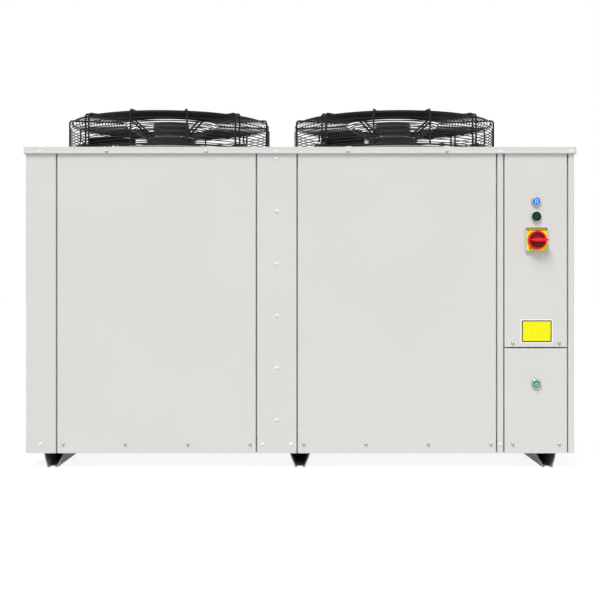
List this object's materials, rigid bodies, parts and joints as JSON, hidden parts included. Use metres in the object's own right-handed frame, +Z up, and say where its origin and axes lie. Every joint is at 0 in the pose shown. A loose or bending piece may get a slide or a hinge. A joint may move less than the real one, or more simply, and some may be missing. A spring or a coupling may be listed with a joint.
{
  "type": "condensing unit",
  "caption": "Floor-standing refrigeration condensing unit: light-grey panelled cabinet on rails, upward axial fans under black wire guards, control column at the right.",
  "frame": {"origin": "underside of the centre rail, at mid width and mid depth of the cabinet", "axes": "+X along the front to the control column, +Y from front to rear, +Z up"},
  "size_m": [1.682, 0.7995, 1.101],
  "materials": {
    "cabinet": "satin powder coat",
    "galvanised": "galvanised sheet",
    "rail_steel": "galvanised folded channel",
    "coil_fins": "plain fins",
    "fan_ring": "satin",
    "motor": "black paint",
    "impeller": "black paint",
    "guard_wire": "black powder coat",
    "machine_black": "gloss black paint",
    "bezel": "satin",
    "lamp_rim": "matt",
    "lamp_green": "clear green lens",
    "isolator_yellow": "satin",
    "isolator_red": "satin",
    "button_blue": "satin",
    "button_green": "satin"
  },
  "bodies": {
    "cabinet": {"base_rail_left": "rail_steel", "base_rail_centre": "rail_steel", "base_rail_right": "rail_steel", "base_tray": "galvanised", "corner_post_front_left": "cabinet", "corner_post_front_right": "cabinet", "corner_post_rear_left": "cabinet", "corner_post_rear_right": "cabinet", "centre_post_front": "cabinet", "centre_post_rear": "cabinet", "narrow_post_front": "cabinet", "narrow_post_rear": "cabinet", "front_panel_left": "cabinet", "front_panel_right": "cabinet", "control_panel_upper": "cabinet", "control_panel_lower": "cabinet", "end_panel_left": "cabinet", "end_panel_right": "cabinet", "rear_machine_panel": "cabinet", "coil_left": "coil_fins", "coil_right": "coil_fins", "partition": "galvanised", "roof_pan": "cabinet", "fan_ring_left": "fan_ring", "fan_ring_right": "fan_ring", "fan_motor_left": "motor", "fan_motor_right": "motor", "guard_side_left": "guard_wire", "guard_side_right": "guard_wire", "guard_top_left": "guard_wire", "guard_top_right": "guard_wire", "compressor": "machine_black", "receiver": "machine_black", "reset_button_bezel": "bezel", "start_button_bezel": "bezel", "lamp_bezel": "lamp_rim", "lamp_lens": "lamp_green", "isolator_plate": "isolator_yellow"},
    "fan_left": {"fan_rotor_left": "motor", "fan_impeller_left": "impeller"},
    "fan_right": {"fan_rotor_right": "motor", "fan_impeller_right": "impeller"},
    "isolator": {"isolator_handle": "isolator_red"},
    "reset_plunger": {"reset_button": "button_blue"},
    "start_plunger": {"start_button": "button_green"}
  },
  "joints": [
    {"name": "fan_left_spin", "type": "hinge", "parent": "cabinet", "child": "fan_left", "pos_m": [-0.437, 0, 0.976], "axis": [0, 0, 1], "continuous": true},
    {"name": "fan_right_spin", "type": "hinge", "parent": "cabinet", "child": "fan_right", "pos_m": [0.315, 0, 0.976], "axis": [0, 0, 1], "continuous": true},
    {"name": "isolator_turn", "type": "hinge", "parent": "cabinet", "child": "isolator", "pos_m": [0.719, -0.38, 0.6925], "axis": [0, -1, 0], "range_deg": [0, 90]},
    {"name": "reset_press", "type": "slide", "parent": "cabinet", "child": "reset_plunger", "axis": [0, 1, 0], "range_m": [0, 0.004], "stiffness_N_per_m": 300},
    {"name": "start_press", "type": "slide", "parent": "cabinet", "child": "start_plunger", "axis": [0, 1, 0], "range_m": [0, 0.004], "stiffness_N_per_m": 300}
  ]
}
